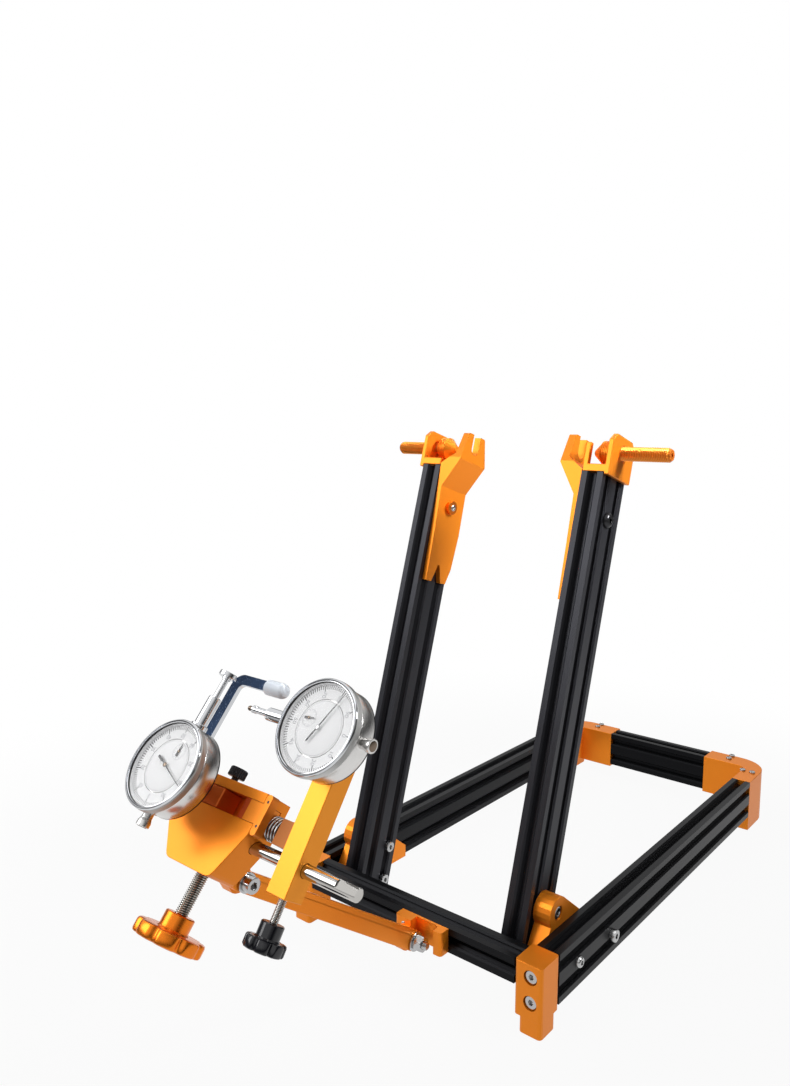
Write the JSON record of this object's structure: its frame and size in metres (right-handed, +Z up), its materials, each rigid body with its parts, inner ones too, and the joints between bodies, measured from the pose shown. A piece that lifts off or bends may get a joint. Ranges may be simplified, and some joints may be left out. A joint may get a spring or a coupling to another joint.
{
  "type": "wheel truing stand",
  "caption": "Open slotted-bar base with leaning uprights that carry a wheel by its axle, and dial gauges on an adjustable arm to read its runout.",
  "frame": {"origin": "middle of the bounding box's underside, on the ground between the base bars", "axes": "+X along the wheel axle to the right side, -Y to the side of the gauges, +Z up"},
  "size_m": [0.286, 0.751, 0.4388],
  "materials": {
    "orange": "orange anodised, satin",
    "black": "black anodised",
    "steel": "bright machined",
    "silver": "satin silver",
    "chrome": "polished",
    "black_plastic": "moulded",
    "tip": "pale milky",
    "dial": "white print",
    "glass": "clear"
  },
  "bodies": {
    "base": {"front_bar": "black", "rear_bar": "black", "left_side_bar": "black", "right_side_bar": "black", "left_upright": "black", "right_upright": "black", "front_left_block": "orange", "front_right_block": "orange", "rear_left_block": "orange", "rear_right_block": "orange", "left_bracket": "orange", "right_bracket": "orange", "left_axle_cap": "orange", "right_axle_cap": "orange", "left_axle_support": "orange", "right_axle_support": "orange", "left_support_screw": "steel", "right_support_screw": "steel", "pivot_block": "orange"},
    "left_axle_screw": {"left_axle_screw": "orange"},
    "right_axle_screw": {"right_axle_screw": "orange"},
    "arm": {"swing_arm": "orange", "arm_bolt": "steel", "tilt_bolt": "steel"},
    "head": {"gauge_head": "orange", "end_stop": "orange", "guide_rod": "chrome", "coil_spring": "steel"},
    "thumb_screw": {"thumb_screw": "black_plastic"},
    "carriage": {"carriage": "orange", "side_lever": "chrome", "lever_tip": "tip", "radial_gauge_case": "silver", "radial_gauge_dial": "dial", "radial_gauge_cap": "silver"},
    "clamp_screw": {"clamp_screw": "steel"},
    "clamp_knob": {"clamp_knob": "orange"},
    "post": {"gauge_post": "orange", "spring_seat": "orange", "lateral_gauge_case": "silver", "lateral_gauge_dial": "dial", "lateral_gauge_cap": "silver"},
    "post_stud": {"post_stud": "steel"},
    "post_knob": {"post_knob": "black_plastic"},
    "radial_gauge_bezel": {"radial_gauge_bezel": "silver", "radial_gauge_crystal": "glass", "radial_gauge_scale": "dial"},
    "radial_gauge_needle": {"radial_gauge_needle": "steel"},
    "radial_gauge_small_needle": {"radial_gauge_small_needle": "steel"},
    "radial_gauge_spindle": {"radial_gauge_spindle": "steel"},
    "lateral_gauge_bezel": {"lateral_gauge_bezel": "silver", "lateral_gauge_crystal": "glass", "lateral_gauge_scale": "dial"},
    "lateral_gauge_needle": {"lateral_gauge_needle": "steel"},
    "lateral_gauge_small_needle": {"lateral_gauge_small_needle": "steel"},
    "lateral_gauge_spindle": {"lateral_gauge_spindle": "steel"}
  },
  "joints": [
    {"name": "left_axle_screw_slide", "type": "slide", "parent": "base", "child": "left_axle_screw", "axis": [1, 0, 0], "range_m": [-0.004, 0.014]},
    {"name": "right_axle_screw_slide", "type": "slide", "parent": "base", "child": "right_axle_screw", "axis": [-1, 0, 0], "range_m": [-0.004, 0.014]},
    {"name": "arm_swing", "type": "hinge", "parent": "base", "child": "arm", "pos_m": [0, -0.13759, 0.042], "axis": [1, 0, 0], "range_deg": [-12, 20]},
    {"name": "head_tilt", "type": "hinge", "parent": "arm", "child": "head", "pos_m": [0, -0.30077, 0.16056], "axis": [1, 0, 0], "range_deg": [-20, 20]},
    {"name": "carriage_slide", "type": "slide", "parent": "head", "child": "carriage", "axis": [1, 0, 0], "range_m": [-0.01, 0.006]},
    {"name": "thumb_screw_turn", "type": "hinge", "parent": "head", "child": "thumb_screw", "pos_m": [0.008, -0.29675, 0.22245], "axis": [0, 0.6428, 0.766], "range_deg": [-720, 0]},
    {"name": "clamp_screw_slide", "type": "slide", "parent": "head", "child": "clamp_screw", "axis": [0, 0.6428, 0.766], "range_m": [-0.0025, 0]},
    {"name": "clamp_knob_turn", "type": "hinge", "parent": "clamp_screw", "child": "clamp_knob", "pos_m": [0.0225, -0.3546, 0.15351], "axis": [0, 0.6428, 0.766], "range_deg": [-720, 0]},
    {"name": "post_slide", "type": "slide", "parent": "head", "child": "post", "axis": [1, 0, 0], "range_m": [0, 0.038]},
    {"name": "post_stud_slide", "type": "slide", "parent": "post", "child": "post_stud", "axis": [0, 0.5592, 0.829], "range_m": [-0.0016, 0]},
    {"name": "post_knob_turn", "type": "hinge", "parent": "post_stud", "child": "post_knob", "pos_m": [0.08625, -0.33637, 0.16953], "axis": [0, 0.5592, 0.829], "range_deg": [-720, 0]},
    {"name": "radial_gauge_bezel_turn", "type": "hinge", "parent": "carriage", "child": "radial_gauge_bezel", "pos_m": [-0.0015, -0.3397, 0.24283], "axis": [0, -0.766, 0.6428], "continuous": true},
    {"name": "radial_gauge_needle_turn", "type": "hinge", "parent": "carriage", "child": "radial_gauge_needle", "pos_m": [-0.0015, -0.3397, 0.24283], "axis": [0, -0.766, 0.6428], "range_deg": [-2160, 0]},
    {"name": "radial_gauge_spindle_slide", "type": "slide", "parent": "carriage", "child": "radial_gauge_spindle", "axis": [0, 0.6428, 0.766], "range_m": [-0.006, 0], "stiffness_N_per_m": 80, "springref_m": 0.006},
    {"name": "radial_gauge_small_needle_turn", "type": "hinge", "parent": "carriage", "child": "radial_gauge_small_needle", "pos_m": [0.0024, -0.33302, 0.25001], "axis": [0, -0.766, 0.6428], "range_deg": [0, 216]},
    {"name": "lateral_gauge_bezel_turn", "type": "hinge", "parent": "post", "child": "lateral_gauge_bezel", "pos_m": [0.092, -0.30545, 0.27725], "axis": [0, -0.829, 0.5592], "continuous": true},
    {"name": "lateral_gauge_needle_turn", "type": "hinge", "parent": "post", "child": "lateral_gauge_needle", "pos_m": [0.092, -0.30545, 0.27725], "axis": [0, -0.829, 0.5592], "range_deg": [-2160, 0]},
    {"name": "lateral_gauge_spindle_slide", "type": "slide", "parent": "post", "child": "lateral_gauge_spindle", "axis": [-1, 0, 0], "range_m": [-0.006, 0], "stiffness_N_per_m": 80, "springref_m": 0.006},
    {"name": "lateral_gauge_small_needle_turn", "type": "hinge", "parent": "post", "child": "lateral_gauge_small_needle", "pos_m": [0.0822, -0.30285, 0.28021], "axis": [0, -0.829, 0.5592], "range_deg": [0, 216]}
  ],
  "couplings": [
    {"joint": "clamp_knob_turn", "follows": "clamp_screw_slide", "rad_per_m": 5026.5},
    {"joint": "post_knob_turn", "follows": "post_stud_slide", "rad_per_m": 7854},
    {"joint": "radial_gauge_needle_turn", "follows": "radial_gauge_spindle_slide", "rad_per_m": 6283.2},
    {"joint": "radial_gauge_small_needle_turn", "follows": "radial_gauge_spindle_slide", "rad_per_m": -628.32},
    {"joint": "lateral_gauge_needle_turn", "follows": "lateral_gauge_spindle_slide", "rad_per_m": 6283.2},
    {"joint": "lateral_gauge_small_needle_turn", "follows": "lateral_gauge_spindle_slide", "rad_per_m": -628.32}
  ]
}
